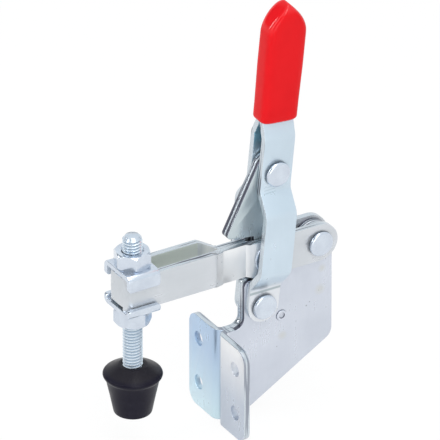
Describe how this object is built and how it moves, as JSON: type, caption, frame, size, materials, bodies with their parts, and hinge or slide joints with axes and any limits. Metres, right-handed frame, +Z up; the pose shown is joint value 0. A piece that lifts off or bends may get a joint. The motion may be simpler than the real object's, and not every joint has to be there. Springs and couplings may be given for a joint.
{
  "type": "toggle clamp",
  "caption": "Vertical-handle toggle clamp with a slotted arm, rubber-tipped spindle, dipped grip and a front flange for side mounting.",
  "frame": {"origin": "centre of the four flange holes on the flange's mounting face", "axes": "+X out of the flange's face towards the spindle, +Y to the near side, +Z up along the handle"},
  "size_m": [0.0771, 0.032, 0.1366],
  "materials": {
    "zinc_plated_plate": "bright bluish zinc plate",
    "zinc_plated_hardware": "bright bluish zinc plate",
    "red_grip": "glossy dipped vinyl",
    "black_rubber": "satin"
  },
  "bodies": {
    "base": {"near_base_plate": "zinc_plated_plate", "far_base_plate": "zinc_plated_plate", "handle_pivot_rivet": "zinc_plated_hardware", "arm_pivot_rivet": "zinc_plated_hardware"},
    "handle": {"near_handle_plate": "zinc_plated_plate", "far_handle_plate": "zinc_plated_plate", "handle_grip": "red_grip", "upper_link_rivet": "zinc_plated_hardware"},
    "arm": {"clamp_arm": "zinc_plated_plate", "near_pivot_washer": "zinc_plated_hardware", "far_pivot_washer": "zinc_plated_hardware", "lower_link_rivet": "zinc_plated_hardware", "top_washer": "zinc_plated_hardware", "bottom_washer": "zinc_plated_hardware", "top_nut": "zinc_plated_hardware", "bottom_nut": "zinc_plated_hardware", "spindle": "zinc_plated_hardware", "rubber_tip": "black_rubber"},
    "link": {"near_link_plate": "zinc_plated_plate", "far_link_plate": "zinc_plated_plate"}
  },
  "joints": [
    {"name": "handle_pivot", "type": "hinge", "parent": "base", "child": "handle", "pos_m": [-0.0138, 0, 0.0219], "axis": [0, -1, 0], "range_deg": [0, 60]},
    {"name": "arm_pivot", "type": "hinge", "parent": "base", "child": "arm", "pos_m": [-0.0332, 0, 0.0378], "axis": [0, -1, 0], "range_deg": [0, 81.1]},
    {"name": "link_pivot", "type": "hinge", "parent": "arm", "child": "link", "pos_m": [-0.0156, 0, 0.0382], "axis": [0, -1, 0], "range_deg": [0, 36.8]}
  ],
  "couplings": [
    {"joint": "arm_pivot", "follows": "handle_pivot", "ratio": 1.3506},
    {"joint": "link_pivot", "follows": "handle_pivot", "ratio": 0.61121}
  ]
}
